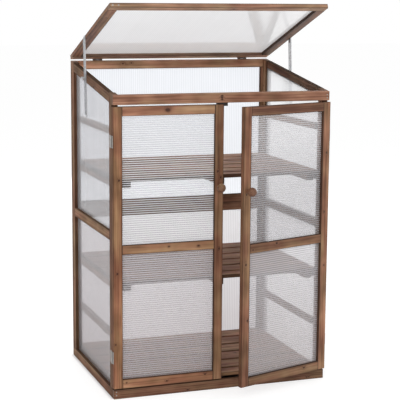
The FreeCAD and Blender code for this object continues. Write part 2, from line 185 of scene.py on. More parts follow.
woodLook = {
    "dark": (0.112, 0.052, 0.031),
    "darkAt": 0.36,
    "middle": (0.224, 0.119, 0.074),
    "middleAt": 0.53,
    "light": (0.350, 0.206, 0.134),
    "lightAt": 0.70,
    "red": (1.10, 0.96, 0.91, 1.0),
    "olive": (0.96, 1.01, 0.86, 1.0),
    "hueSpan": (0.36, 0.64),
    "knot": (0.030, 0.011, 0.007),
    "knotSpan": (0.55, 1.25),
    "knotShare": 0.9,
    "knotLength": 1.35,
    "knotRagged": 0.9,
    "haloSpan": (0.6, 3.6),
    "haloShare": 0.42,
    "joint": (0.026, 0.014, 0.009),
    "jointShare": 0.82,
    "jointWidth": 0.0017,
    "endGrain": (0.170, 0.106, 0.074),
    "endSpan": (0.55, 0.9),
    "endShare": 0.75,
    "edgeShare": 0.5,
    "edgeWidth": 0.0020,
    "narrowSpan": (0.0001, 0.0006),
    # Painted shade on the narrow faces, deeper where they look into a rebate; the rebate line is partly a dark
    # groove and partly painted shadow
    "narrowPaintedShade": (0.66, 0.62, 0.60, 1.0),
    "rebatePaintedShade": (0.40, 0.36, 0.34, 1.0),
    "rebateLine": 0.55,
    "rebateLineSpan": (0.0006, 0.0022),
    "ringWidth": 0.0046,
    "ringWobble": 0.0060,
    "ringsRoundKnots": 0.004,
    "pithSpread": 0.05,
    "pithDepth": 0.018,
    "ringSharpness": 2.5,
    "ringShare": 0.10,
    "streaks": 44.0,
    "streakShare": 0.60,
    "hairs": 210.0,
    "hairShare": 0.22,
    "blotches": 13.0,
    "blotchShare": 0.42,
    "darker": 0.08,
    "fibres": 900.0,
    "gloss": 0.22,
    "roughness": 0.56,
    "fibreRoughness": 0.22,
    "endRoughness": 0.2,
    "narrowRoughness": 0.2,
    "knotSmoothness": 0.12,
    "fibreHeight": 0.6,
    "ringDepth": 0.35,
    "knotHeight": 0.5,
    "bump": 0.45,
    "relief": 0.0005,
}

# How far each kind of noise is drawn out along the grain
stretches = {
    "streak": 3.6, "hair": 9.0, "blotch": 11.0, "hue": 6.0, "wobble": 3.1, "ragged": 160.0,
    "fibre": 28.0,
}


def knotField(wire, along, across, name, ragged, look):
    # Distance to one knot in knot radii, drawn out along the grain, with a ragged outline
    x, y, radius = wire.attribute(name).parts()
    stretched = (along - x) / (radius * look["knotLength"])
    sideways = (across - y) / radius
    distance = (stretched * stretched + sideways * sideways) ** 0.5
    return distance + (ragged - 0.5) * look["knotRagged"]


def stainedWood(name, look):
    material, wire = startMaterial(name)
    along, across, through = wire.attribute("grain").parts()
    halfAlong, halfAcross, halfThrough = wire.attribute("half").parts()
    seedX, seedY, seedZ = wire.attribute("seed").parts()
    tone = wire.attribute("tone")

    def grained(kind, fineness, detail, roughness=0.5):
        # Noise drawn out along the grain, shifted by the batten's seed
        return wire.noise(
            wire.joined(along * stretches[kind] + seedX * 40, across * fineness + seedY * 90,
                        through * fineness + seedZ * 70), detail, roughness,
        )

    streak = grained("streak", look["streaks"], 3.0, 0.55)
    hair = grained("hair", look["hairs"], 2.0, 0.6)
    blotch = grained("blotch", look["blotches"], 2.0)
    hue = grained("hue", look["blotches"] * 1.7, 2.0)
    wobble = grained("wobble", 9.0, 1.0)
    ragged = grained("ragged", 260.0, 1.0)
    core = None
    halo = None
    for knot in knotNames:
        distance = knotField(wire, along, across, knot, ragged, look)
        inside = 1 - distance.between(*look["knotSpan"])
        around = 1 - distance.between(*look["haloSpan"])
        core = inside if core is None else wire.maths("MAXIMUM", core, inside)
        halo = around if halo is None else wire.maths("MAXIMUM", halo, around)
    # Rings go round a pith beside the batten, and wander round its knots
    pithX = across + (seedX - 0.5) * look["pithSpread"]
    pithZ = through + (seedY * look["pithSpread"] + look["pithDepth"])
    radius = (pithX * pithX + pithZ * pithZ) ** 0.5
    radius = radius + wobble * look["ringWobble"] + halo * halo * look["ringsRoundKnots"]
    wave = wire.maths("SINE", radius * (2 * math.pi / look["ringWidth"])) * 0.5 + 0.5
    ring = wave ** look["ringSharpness"]
    shade = streak * look["streakShare"] + hair * look["hairShare"]
    shade = shade + blotch * look["blotchShare"] - ring * look["ringShare"] - look["darker"]
    stops = [(look[name + "At"], look[name]) for name in ("dark", "middle", "light")]
    colour = wire.ramp(shade, stops)
    tint = wire.mixed(hue.between(*look["hueSpan"]), look["red"], look["olive"])
    colour = wire.mixed(1.0, colour, tint, blend="MULTIPLY")
    colour = wire.mixed(halo * look["haloShare"], colour, (*look["dark"], 1))
    normal = wire.node("ShaderNodeTexCoord", {}, out="Normal")
    facing = abs(wire.node("ShaderNodeVectorMath", {"operation": "DOT_PRODUCT"}, out="Value",
                           i0=normal, i1=wire.attribute("runs")))
    endGrain = facing.between(*look["endSpan"])
    # The arrises are darker, partly gathered stain and partly painted shade between parts, and the joints at a
    # batten's ends are dark lines
    toEdge = wire.maths("MAXIMUM", halfAcross - abs(across), halfThrough - abs(through))
    edge = 1 - toEdge.between(look["edgeWidth"] * 0.3, look["edgeWidth"] * 1.7)
    toEnd = halfAlong - abs(along)
    joint = (1 - toEnd.between(look["jointWidth"] * 0.3, look["jointWidth"])) * (1 - endGrain)
    # The narrow faces are painted darker as shade, most where they look into a sheet's rebate, and the line along
    # a rebate is partly a dark groove and partly painted shadow
    toSide = halfAcross - abs(across)
    narrow = 1 - toSide.between(*look["narrowSpan"])
    above, below = wire.attribute("rebates").parts()[:2]
    upper = across.between(-0.0001, 0.0001)
    rebate = above * upper + below * (1 - upper)
    face = wire.mixed(rebate, look["narrowPaintedShade"], look["rebatePaintedShade"])
    shaded = wire.mixed(narrow, (1.0, 1.0, 1.0, 1.0), face)
    colour = wire.mixed(1.0, colour, shaded, blend="MULTIPLY")
    line = rebate * (1 - toSide.between(*look["rebateLineSpan"]))
    colour = wire.mixed(line * look["rebateLine"], colour, (*look["joint"], 1))
    colour = wire.mixed(edge * look["edgeShare"], colour, (*look["joint"], 1))
    colour = wire.mixed(core * look["knotShare"], colour, (*look["knot"], 1))
    colour = wire.mixed(joint * look["jointShare"], colour, (*look["joint"], 1))
    colour = wire.mixed(1.0, colour, tone, blend="MULTIPLY")
    ends = wire.mixed(1.0, (*look["endGrain"], 1), wire.attribute("ends"), blend="MULTIPLY")
    colour = wire.mixed(endGrain * look["endShare"], colour, ends)
    fibre = grained("fibre", look["fibres"], 2.0)
    roughness = look["roughness"] + (fibre - 0.5) * look["fibreRoughness"]
    roughness = roughness + endGrain * look["endRoughness"] - core * look["knotSmoothness"]
    roughness = roughness + narrow * look["narrowRoughness"]
    height = fibre * look["fibreHeight"] - ring * look["ringDepth"]
    height = height + core * look["knotHeight"] - joint
    return finishSurface(
        material, wire, {"Specular IOR Level": look["gloss"]},
        Base_Color=colour, Roughness=roughness,
        Normal=bumped(wire, height, look["bump"], look["relief"]),
    )


# Milky twin-wall sheet: ribs between two thin walls show as pale lines, clearer between them.
# colour and ribColour are the milky part's own, which turn to the low colour, a painted shade, from lowFrom down
# to lowTo.

sheetLook = {
    "pitch": 0.00712,
    "ribFrom": 0.28,
    "ribTo": 0.72,
    "colour": (0.70, 0.705, 0.73, 1.0),
    "ribColour": (0.76, 0.765, 0.785, 1.0),
    "lowShadeColour": (0.70, 0.665, 0.675, 1.0),
    "lowFrom": 0.1,
    "lowTo": 0.0,
    "lowShare": 0.9,
    "through": 0.25,
    "tint": (0.95, 0.95, 0.95, 1.0),
    "roughness": 0.20,
    "ribRoughness": 0.12,
    "coatRoughness": 0.04,
    "hazes": (5.0, 5.0, 5.0),
    "hazeShare": 0.06,
    "streaks": 55.0,
    "streakShare": 0.05,
    "streakSway": 0.6,
    "bending": 1.49,
    "bump": 0.12,
    "relief": 0.0003,
}

# Which way the ribs repeat (0 for x, 1 for y, 2 for z) and how milky each sheet looks. The same sheet
# gets brighter or darker colours from one place to another, painted light and shade for how each is
# lit. A cover and a tint count at both faces of the sheet.
sheetKinds = {
    "right_door_upper": {
        "axis": 2, "clearCover": 0.25, "ribCover": 0.43, "ribFrom": 0.36, "ribTo": 0.76,
        "tint": (0.94, 0.935, 0.94, 1.0), "lowFrom": 0.90, "lowTo": 0.62,
        "colour": (0.785, 0.78, 0.80, 1.0), "ribColour": (0.915, 0.915, 0.935, 1.0),
        "lowShadeColour": (0.585, 0.575, 0.59, 1.0),
    },
    "right_door_lower": {
        "axis": 2, "clearCover": 0.33, "ribCover": 0.45, "lowFrom": 0.50,
        "colour": (0.73, 0.71, 0.735, 1.0), "ribColour": (0.83, 0.81, 0.835, 1.0),
    },
    "door_upper": {
        "axis": 2, "clearCover": 0.08, "ribCover": 0.63, "ribFrom": 0.53, "ribTo": 0.87,
        "tint": (0.965, 0.965, 0.97, 1.0),
        "colour": (0.54, 0.545, 0.56, 1.0), "ribColour": (0.97, 0.975, 0.98, 1.0),
    },
    "door_lower": {
        "axis": 2, "clearCover": 0.20, "ribCover": 0.43, "lowFrom": 0.50,
        "colour": (0.82, 0.79, 0.82, 1.0), "ribColour": (0.95, 0.92, 0.95, 1.0),
        "lowShadeColour": (0.83, 0.79, 0.81, 1.0),
    },
    "right_upper": {
        "axis": 1, "clearCover": 0.38, "ribCover": 0.43, "through": 0.9,
        "colour": (0.94, 0.945, 0.96, 1.0), "ribColour": (0.95, 0.955, 0.97, 1.0),
    },
    "right_lower": {
        "axis": 1, "clearCover": 0.38, "ribCover": 0.43, "through": 0.9, "lowFrom": 0.42,
        "colour": (0.90, 0.89, 0.91, 1.0), "ribColour": (0.92, 0.91, 0.93, 1.0),
    },
    "left_upper": {
        "axis": 1, "clearCover": 0.36, "ribCover": 0.41, "through": 0.33,
        "tint": (0.86, 0.86, 0.87, 1.0),
        "colour": (0.89, 0.895, 0.92, 1.0), "ribColour": (0.91, 0.915, 0.94, 1.0),
    },
    "left_lower": {
        "axis": 1, "clearCover": 0.34, "ribCover": 0.39, "through": 0.33, "lowFrom": 0.42,
        "tint": (0.88, 0.87, 0.88, 1.0),
        "colour": (0.90, 0.88, 0.90, 1.0), "ribColour": (0.92, 0.90, 0.92, 1.0),
    },
    "back_upper": {
        "axis": 0, "clearCover": 0.43, "ribCover": 0.48, "through": 0.7,
        "tint": (0.97, 0.975, 0.985, 1.0),
        "colour": (0.87, 0.89, 0.93, 1.0), "ribColour": (0.90, 0.92, 0.95, 1.0),
    },
    "back_lower": {
        "axis": 0, "clearCover": 0.43, "ribCover": 0.51, "through": 0.5, "lowFrom": 0.50,
        "tint": (0.91, 0.905, 0.91, 1.0),
        "colour": (0.96, 0.955, 0.97, 1.0), "ribColour": (0.97, 0.965, 0.98, 1.0),
        "lowShadeColour": (0.79, 0.745, 0.76, 1.0),
    },
    "lid": {
        "axis": 0, "clearCover": 0.75, "ribCover": 0.80, "through": 0.35, "roughness": 0.10,
        "colour": (0.97, 0.975, 0.98, 1.0), "ribColour": (0.98, 0.98, 0.985, 1.0),
    },
}


def twinWallSheet(name, look):
    # Apart from a see-through share, the sheet is milky: part of its light comes off the front
    # and part comes through. Lower down it is painted darker as shade.
    material, wire = startMaterial(name)
    place = wire.objectPlace()
    x, y, z = place.parts()
    across = (x, y, z)[look["axis"]]
    wave = wire.maths("COSINE", across * (2 * math.pi / look["pitch"])) * 0.5 + 0.5
    rib = wave.between(look["ribFrom"], look["ribTo"])
    haze = wire.scaledNoise(place, look["hazes"], 2.0)
    streak = wire.noise(wire.joined(across * look["streaks"], haze * look["streakSway"], 0.0), 2.0)
    spread = look["ribCover"] - look["clearCover"]
    cover = rib * spread + look["clearCover"] + (haze - 0.5) * look["hazeShare"]
    cover = cover + (streak - 0.5) * look["streakShare"]
    colour = wire.mixed(rib, look["colour"], look["ribColour"])
    low = 1 - z.between(look["lowTo"], look["lowFrom"])
    colour = wire.mixed(low * look["lowShare"], colour, look["lowShadeColour"])
    roughness = look["roughness"] + rib * look["ribRoughness"]
    front = wire.node(
        "ShaderNodeBsdfPrincipled", {}, IOR=look["bending"], Coat_Weight=1.0,
        Coat_Roughness=look["coatRoughness"], Base_Color=colour, Roughness=roughness,
        Normal=bumped(wire, wave, look["bump"], look["relief"]),
    )
    through = wire.node("ShaderNodeBsdfTranslucent", {}, Color=colour)
    milky = wire.node("ShaderNodeMixShader", {}, i0=look["through"], i1=front, i2=through)
    clear = wire.node("ShaderNodeBsdfTransparent", {}, Color=look["tint"])
    sheet = wire.node("ShaderNodeMixShader", {}, i0=cover, i1=clear, i2=milky)
    wire.node("ShaderNodeOutputMaterial", {}, out=None, Surface=sheet)
    return material


# Zinc-plated steel with a faint spangle, and the catch's dark plastic

zincLook = {
    "colour": (0.37, 0.375, 0.385),
    "colourAt": 0.2,
    "pale": (0.62, 0.63, 0.645),
    "paleAt": 0.8,
    "spangle": 260.0,
    "spangleShare": 0.4,
    "smears": (90.0, 90.0, 20.0),
    "smearShare": 0.6,
    "metal": 0.8,
    "roughness": 0.38,
    "smearRoughness": 0.2,
    "spangleSmoothness": 0.06,
    "bump": 0.2,
    "relief": 0.0002,
}

dulledLook = {**zincLook, "colour": (0.27, 0.25, 0.235), "pale": (0.42, 0.40, 0.38)}
# A dark copy of the zinc for the lid's hinges: painted shade
shadedZincLook = {**zincLook, "colour": (0.060, 0.050, 0.044), "pale": (0.135, 0.112, 0.098)}


def zincSteel(name, look):
    material, wire = startMaterial(name)
    place = wire.objectPlace()
    cells = wire.node(
        "ShaderNodeTexVoronoi", {"feature": "F1"}, out="Color", Vector=place,
        Scale=look["spangle"],
    )
    spangle = cells.parts()[0]
    smear = wire.scaledNoise(place, look["smears"], 3.0)
    shade = spangle * look["spangleShare"] + smear * look["smearShare"]
    stops = [(look["colourAt"], look["colour"]), (look["paleAt"], look["pale"])]
    colour = wire.ramp(shade, stops)
    roughness = look["roughness"] + smear * look["smearRoughness"]
    roughness = roughness - spangle * look["spangleSmoothness"]
    return finishSurface(
        material, wire, {"Metallic": look["metal"]},
        Base_Color=colour, Roughness=roughness,
        Normal=bumped(wire, smear, look["bump"], look["relief"]),
    )


catchLook = {
    "colour": (0.020, 0.014, 0.011),
    "colourAt": 0.35,
    "worn": (0.055, 0.040, 0.032),
    "wornAt": 0.75,
    "grit": (700.0, 700.0, 700.0),
    "roughness": 0.5,
    "gritRoughness": 0.25,
    "bump": 0.3,
    "relief": 0.0002,
}


def darkPlastic(name, look):
    material, wire = startMaterial(name)
    place = wire.objectPlace()
    grit = wire.scaledNoise(place, look["grit"], 2.0)
    stops = [(look["colourAt"], look["colour"]), (look["wornAt"], look["worn"])]
    colour = wire.ramp(grit, stops)
    roughness = look["roughness"] + (grit - 0.5) * look["gritRoughness"]
    return finishSurface(
        material, wire, {},
        Base_Color=colour, Roughness=roughness,
        Normal=bumped(wire, grit, look["bump"], look["relief"]),
    )


# Battens: a merged copy of each wooden node, with eased edges and grain along its length

knotNames = ("knotA", "knotB", "knotC")
battenShape = {
    "easing": 0.0009,
    "segments": 2,
    "easedFrom": 30,
    "mergeWithin": 0.00002,
    "flatWithin": 0.5,
    "rebateReach": 0.003,
    "sheetReach": 0.006,
}

# What is drawn for each batten: its brightness, and how often, where and how large a knot is
battenChance = {
    "firstSeed": 100,
    "shade": (0.92, 1.08),
    "knotShare": 0.4,
    "knotAlong": 0.9,
    "knotAcross": 0.6,
    "knotRadius": (0.0017, 0.0034),
}

# Brightness and warmth of each batten, partly as the stain took on it and partly painted light and
# shade for how it is lit, and the brightness of its end grain, for a node or for one of its battens
# numbered from the lowest up
battenStainAndShade = {
    "front_beam": (1.52, 0.95),
    "base_front_rail": (0.90, 1.0),
    "left_door_hinge_stile": (1.08, 1.09),
    "left_door_latch_stile": (0.81, 1.05),
    "left_door_rails": (1.22, 1.04),
    ("left_door_rails", 0): (1.46, 1.05),
    ("left_door_rails", 2): (1.62, 0.98),
    "right_door_hinge_stile": (1.19, 1.01),
    "right_door_latch_stile": (0.96, 1.04),
    "right_door_rails": (0.92, 1.02),
    "side_left_front_post": (0.66, 1.01),
    "side_left_back_post": (0.98, 0.96),
    "side_left_mid_rail": (1.02, 0.98),
    "side_left_bottom_rail": (0.85, 0.99),
    "side_left_top_rail": (0.74, 0.98, 1.8),
    "side_right_top_rail": (0.64, 0.93, 0.8),
    "back_lower_rails": (1.30, 0.98),
    "floor_slats": (1.50, 0.98),
    "back_upper_rails": (1.20, 1.02),
    ("back_upper_rails", 1): (1.86, 0.96),
    "lid_front_rail": (2.14, 0.92),
    "lid_left_rail": (0.94, 1.04),
    "lid_right_rail": (0.76, 1.04),
    "lid_back_rail": (2.80, 0.84),
}

# The same for the battens of each wood that aren't named above
plainStainAndShade = {"frame_wood": (0.92, 1.0), "shelf_wood": (1.28, 1.04)}

# How much brighter than its middle a batten is at its upper or right end, a painted shade gradient
battenShadeDrift = {
    "left_door_hinge_stile": -0.22,
    "left_door_latch_stile": -0.16,
    "right_door_hinge_stile": -0.06,
}

# Knots that stand out: (node, batten from the lowest up) with along, across and radius
battenKnots = {
    ("left_door_rails", 2): ((-0.0055, 0.0022, 0.0066),),
    ("left_door_rails", 1): ((0.0001, 0.0033, 0.0026), (0.1035, -0.0004, 0.0034)),
    ("left_door_rails", 0): (
        (-0.0062, -0.0034, 0.0028), (-0.1456, 0.0030, 0.0026), (0.1301, 0.0069, 0.0032),
    ),
    ("front_beam", 0): (
        (-0.0085, 0.0065, 0.0036), (-0.0085, 0.0005, 0.0034), (-0.0085, -0.0060, 0.0030),
    ),
    ("left_door_hinge_stile", 0): (
        (0.2294, 0.0044, 0.0030), (-0.0773, -0.0018, 0.0034), (-0.3155, -0.0085, 0.0026),
    ),
    ("left_door_latch_stile", 0): (
        (0.2463, -0.0039, 0.0026), (0.2258, 0.0059, 0.0030), (-0.0144, 0.0023, 0.0030),
    ),
    ("right_door_hinge_stile", 0): (
        (0.2956, 0.0024, 0.0034), (0.0917, -0.0028, 0.0030), (-0.0955, 0.0013, 0.0028),
    ),
    ("right_door_latch_stile", 0): (
        (0.1816, -0.0026, 0.0026), (-0.0506, -0.0016, 0.0036), (-0.2402, 0.0072, 0.0030),
    ),
    ("right_door_rails", 1): ((-0.0433, 0.0065, 0.0034), (-0.1465, -0.0039, 0.0024)),
    ("right_door_rails", 0): ((0.0925, 0.0046, 0.0034),),
    ("back_upper_rails", 1): ((-0.1894, 0.0032, 0.0030), (-0.1573, 0.0054, 0.0026)),
    ("side_left_mid_rail", 0): ((-0.0606, 0.0100, 0.0024), (-0.1484, 0.0074, 0.0024)),
    ("lid_front_rail", 0): ((0.0455, -0.0022, 0.0040),),
}
noKnot = (9.0, 9.0, 0.001)  # far off the batten


def islandsOf(count, edges):
    # Each vertex takes the lowest number among its neighbours until none changes
    label = np.arange(count)
    while True:
        lowest = label[edges].min(axis=1)
        after = label.copy()
        np.minimum.at(after, edges[:, 0], lowest)
        np.minimum.at(after, edges[:, 1], lowest)
        after = after[after]
        if (after == label).all():
            return label
        label = after


def longestRun(runs, square=None):
    # Direction of the longest edge, among those square to a given axis where there is one
    length = np.linalg.norm(runs, axis=1)
    if square is not None:
        length = np.where(abs(runs @ square) > 0.3 * length, 0, length)
    best = runs[length.argmax()]
    if square is not None:
        best = best - square * (best @ square)
    best = best / np.linalg.norm(best)
    return best if best[abs(best).argmax()] > 0 else -best


def battenFrame(corners, runs):
    # Axes along, across and through one batten, its corners from its middle, and its half sizes
    along = longestRun(runs)
    across = longestRun(runs, square=along)
    axes = np.array([along, across, np.cross(along, across)])
    local = corners @ axes.T
    middle = (local.min(0) + local.max(0)) / 2
    return axes, local - middle, (local.max(0) - local.min(0)) / 2


def setVectors(mesh, name, values):
    attribute = mesh.attributes.new(name, "FLOAT_VECTOR", "POINT")
    attribute.data.foreach_set("vector", np.asarray(values, np.float32).ravel())


def getArray(items, key, width, kind):
    values = np.empty(len(items) * width, kind)
    items.foreach_get(key, values)
    return values.reshape(-1, width)


def mergedCopy(node):
    # The node's mesh with its doubles merged and its flat faces made whole
    shape = bmesh.new()
    shape.from_mesh(frame["nodes"][node].data)
    bmesh.ops.remove_doubles(shape, verts=shape.verts, dist=battenShape["mergeWithin"])
    bmesh.ops.dissolve_limit(
        shape, angle_limit=math.radians(battenShape["flatWithin"]),
        verts=shape.verts, edges=shape.edges,
    )
    mesh = bpy.data.meshes.new(node + "_eased")
    shape.to_mesh(mesh)
    shape.free()
    return mesh


def rebatesBeside(middle, axes, half):
    # 1 or 0 for the batten's upper and lower side, as a sheet lies beside it or not. A side is
    # tried a little outside it, halfway to either end.
    found = []
    for side in (1, -1):
        outside = middle + axes[1] * side * (half[1] + battenShape["rebateReach"])
        tries = np.array([outside + axes[0] * half[0] * share for share in (-0.5, 0.5)])
        hits = (tries[:, None] > sheetLows) & (tries[:, None] < sheetHighs)
        found.append(float(hits.all(axis=2).any()))
    return (*found, 0.0)


def battenColumns(node, mesh, seed):
    # What the wood's material reads at each vertex, worked out batten by batten
    places = getArray(mesh.vertices, "co", 3, np.float32).astype(float)
    edges = getArray(mesh.edges, "vertices", 2, np.int32)
    label = islandsOf(len(places), edges)
    names = ("grain", "half", "seed", "tone", "ends", "runs", "rebates", *knotNames)
    columns = {name: np.zeros((len(places), 3)) for name in names}
    random = np.random.default_rng(seed)
    groups = [label == number for number in np.unique(label)]
    groups.sort(key=lambda inside: tuple(np.round(places[inside].mean(0), 4)[::-1]))
    for number, inside in enumerate(groups):
        ends = edges[inside[edges[:, 0]]]
        axes, local, half = battenFrame(places[inside], places[ends[:, 1]] - places[ends[:, 0]])
        columns["grain"][inside] = local
        columns["half"][inside] = half
        columns["runs"][inside] = axes[0]
        columns["rebates"][inside] = rebatesBeside(places[inside][0] - local[0] @ axes, axes, half)
        columns["seed"][inside] = random.uniform(0, 1, 3)
        shade = random.uniform(*battenChance["shade"])
        tones = battenStainAndShade.get((node, number)) or battenStainAndShade.get(node, plainStainAndShade[slotOf[node]])
        value, warmth = tones[:2]
        columns["ends"][inside] = tones[2] if len(tones) > 2 else 1.0
        drift = 1 + battenShadeDrift.get(node, 0.0) * local[:, :1] / half[0]
        columns["tone"][inside] = np.array([warmth, 1.0, 2 - warmth]) * value * shade * drift
        given = battenKnots.get((node, number), ())
        for slot, name in enumerate(knotNames):
            drawn = (
                random.uniform(-battenChance["knotAlong"], battenChance["knotAlong"]) * half[0],
                random.uniform(-battenChance["knotAcross"], battenChance["knotAcross"]) * half[1],
                random.uniform(*battenChance["knotRadius"]),
            )
            if given:
                drawn = given[slot] if slot < len(given) else noKnot
            elif random.uniform() > battenChance["knotShare"]:
                drawn = noKnot
            columns[name][inside] = drawn
    return columns


def dressBatten(node, material, seed):
    # A merged copy with eased edges stands for the node
    mesh = mergedCopy(node)
    for name, values in battenColumns(node, mesh, seed).items():
        setVectors(mesh, name, values)
    mesh.materials.append(material)
    piece = addPiece(node + "_eased", mesh, bodyOf[node])
    easing = piece.modifiers.new("Eased edges", "BEVEL")
    easing.width = battenShape["easing"]
    easing.segments = battenShape["segments"]
    easing.limit_method = "ANGLE"
    easing.angle_limit = math.radians(battenShape["easedFrom"])
    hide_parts(node)


def addPiece(name, mesh, body):
    piece = bpy.data.objects.new(name, mesh)
    bpy.context.scene.collection.objects.link(piece)
    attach(piece, body)
    return piece


bodyOf = {
    node: body for body, nodes in frame["record"]["behaviour"]["bodies"].items()
    for node in nodes
}
slotOf = {part["node"]: part["material_slot"] for part in frame["record"]["subparts"]}

sheetBoxes = [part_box(node) for node in slotOf if slotOf[node] == "twin_wall_sheet"]
sheetLows = np.array([low for low, high in sheetBoxes]) - battenShape["sheetReach"]
sheetHighs = np.array([high for low, high in sheetBoxes]) + battenShape["sheetReach"]

# The shelf's end grain is nearly black: dark end grain, darkened further as painted shade
shelfLook = {
    **woodLook, "roughness": 0.66, "endShare": 0.9, "endGrain": (0.040, 0.027, 0.023),
    "narrowPaintedShade": (0.80, 0.78, 0.76, 1.0),
}
matLook = {
    **woodLook, "gloss": 0.08, "roughness": 0.64, "rebatePaintedShade": (0.75, 0.74, 0.72, 1.0),
    "rebateLine": 0.45,
}
sheenLook = {
    **woodLook, "gloss": 0.40, "narrowPaintedShade": (0.92, 0.92, 0.92, 1.0),
    "rebatePaintedShade": (0.45, 0.42, 0.40, 1.0), "rebateLine": 0.3, "edgeShare": 0.6,
    "edgeWidth": 0.0028,
}
woodFor = {
    "frame": stainedWood("frame wood", woodLook),
    "side": stainedWood("side wall wood", matLook),
    "lid": stainedWood("lid wood", sheenLook),
    "shelf": stainedWood("shelf wood", shelfLook),
}


def woodKind(node):
    if slotOf[node] == "shelf_wood":
        return "shelf"
    return next((kind for kind in ("side", "lid") if node.startswith(kind)), "frame")


for number, node in enumerate(sorted(slotOf)):
    if slotOf[node] in ("frame_wood", "shelf_wood"):
        dressBatten(node, woodFor[woodKind(node)], battenChance["firstSeed"] + number)
print("battens dressed")


# Sheets and fittings keep the frame's own meshes

sheetFor = {
    kind: twinWallSheet("twin-wall sheet, " + kind.replace("_", " "), {**sheetLook, **look})
    for kind, look in sheetKinds.items()
}


def steelFor(node):
    # The lid's hinges take the zinc in painted shade
    if node.startswith("lid_hinge"):
        return shadedZinc
    return dulled if "leaves" in node or "keeper" in node else steel


def kindOf(node):
    # The kind whose words are all in the node's name
    return next(kind for kind in sheetKinds if set(kind.split("_")) <= set(node.split("_")))


steel = zincSteel("zinc-plated steel", zincLook)
dulled = zincSteel("dulled steel", dulledLook)
shadedZinc = zincSteel("zinc-plated steel in painted shade", shadedZincLook)
plastic = darkPlastic("dark plastic", catchLook)
for node, slotName in slotOf.items():
    slots = frame["nodes"][node].material_slots
    if slotName == "twin_wall_sheet":
        slots[0].material = sheetFor[kindOf(node)]
    elif slotName == "galvanised_steel":
        slots[0].material = steelFor(node)
    elif slotName == "catch_plastic":
        slots[0].material = plastic
print("sheets and fittings coated")


# Knobs: a profile turned about the line out of the door

knobShape = {
    "steps": 40,
    "around": 48,
    "neck": 0.0062,
    "foot": 0.0078,
    "footDepth": 0.002,
    "tip": 0.06,
    "smoothBelow": 35,
    "seeds": {"left": 7, "right": 8},
    "noEdge": (9, 9, 9),  # half sizes so large that no arris or joint shows
}


def closedGrid(rows, around):
    # Quads between neighbouring rings of points, with a fan of triangles at each pole
    ring = np.arange(around)
    after = (ring + 1) % around
    low = np.arange(rows - 1)[:, None] * around
    high = low + around
    quads = np.stack([low + ring, low + after, high + after, high + ring], axis=-1)
    top = (rows - 1) * around
    firstPole = np.full(around, rows * around)
    fans = (
        np.stack([after, ring, firstPole], axis=1),
        np.stack([top + ring, top + after, firstPole + 1], axis=1),
    )
    return quads.reshape(-1, 4).tolist() + np.vstack(fans).tolist()


def turned(profile, foot, out, around):
    # Each profile point (reach, radius) goes round the line from foot along out
    side = out.orthogonal().normalized()
    other = out.cross(side)
    angle = np.linspace(0, 2 * math.pi, around, endpoint=False)
    rim = np.outer(np.cos(angle), side) + np.outer(np.sin(angle), other)
    reach, radius = np.array(profile).T
    line = np.array(foot) + np.outer(reach, out)
    points = line[:, None, :] + radius[:, None, None] * rim[None, :, :]
    ends = np.array([line[0], line[-1]])
    return np.vstack([points.reshape(-1, 3), ends])


def turnedMesh(name, profile, foot, out, around):
    mesh = bpy.data.meshes.new(name)
    points = turned(profile, foot, out, around)
    mesh.from_pydata(points.tolist(), [], closedGrid(len(profile), around))
    shadeSmooth(mesh, knobShape["smoothBelow"])
    return mesh


def shadeSmooth(mesh, degrees):
    mesh.polygons.foreach_set("use_smooth", np.ones(len(mesh.polygons), bool))
    mesh.set_sharp_from_angle(angle=math.radians(degrees))


def knobLine(node, stile):
    # The knob's foot on its stile, the way out of the door, the ball's middle along it and radius
    low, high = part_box(node)
    vertices = frame["nodes"][node].data.vertices
    place = getArray(vertices, "co", 3, np.float32).astype(float)
    turn = doorTurn(stile)
    out = Vector((math.sin(turn), -math.cos(turn), 0))
    reach = place @ np.array(out)
    middle = Vector((place.min(0) + place.max(0)) / 2)
    radius = (high.z - low.z) / 2
    foot = middle + out * (reach.min() - middle.dot(out))
    centre = reach.max() - radius - reach.min()
    return foot, out, centre, radius


def doorTurn(stile):
    # The right door's stiles are turned about z, which the joint's lower limit gives
    if stile.startswith("left"):
        return 0.0
    hinge = next(joint for joint in frame["joints"] if joint["name"] == "right_door_hinge")
    return -math.radians(hinge["range_deg"][0])


def turnKnob(side):
    # The profile is a foot, a neck and a ball: (centre + radius cos bend, radius sin bend)
    node = side + "_door_knob"
    foot, out, centre, radius = knobLine(node, side + "_door_latch_stile")
    start = math.pi - math.asin(knobShape["neck"] / radius)
    bend = np.linspace(start, knobShape["tip"], knobShape["steps"])
    ball = np.stack([centre + radius * np.cos(bend), radius * np.sin(bend)], axis=1)
    neck = [
        (0.0, knobShape["foot"]),
        (knobShape["footDepth"] * 0.5, knobShape["foot"]),
        (knobShape["footDepth"], knobShape["neck"]),
    ]
    mesh = turnedMesh(node + "_turned", neck + ball.tolist(), foot, out, knobShape["around"])
    places = getArray(mesh.vertices, "co", 3, np.float32).astype(float)
    across = out.orthogonal().normalized()
    axes = np.array([out, across, out.cross(across)])
    random = np.random.default_rng(knobShape["seeds"][side])
    fixed = {
        "seed": random.uniform(0, 1, 3), "tone": knobLook["tone"], "runs": axes[0],
        "half": knobShape["noEdge"], "ends": (1, 1, 1), "rebates": (0, 0, 0),
        **dict.fromkeys(knotNames, noKnot),
    }
    setVectors(mesh, "grain", (places - np.array(foot)) @ axes.T)
    for name, value in fixed.items():
        setVectors(mesh, name, np.tile(value, (len(places), 1)))
    mesh.materials.append(knobWood)
    piece = addPiece(node + "_turned", mesh, bodyOf[node])
    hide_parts(node)


knobLook = {
    **woodLook, "roughness": 0.34, "endGrain": (0.21, 0.115, 0.075), "endShare": 0.5,
    "tone": (0.86, 0.84, 0.80),
}
knobWood = stainedWood("knob wood", knobLook)
turnKnob("left")
turnKnob("right")
print("knobs turned")


# Screw heads: a shallow dome with a cross sunk into it

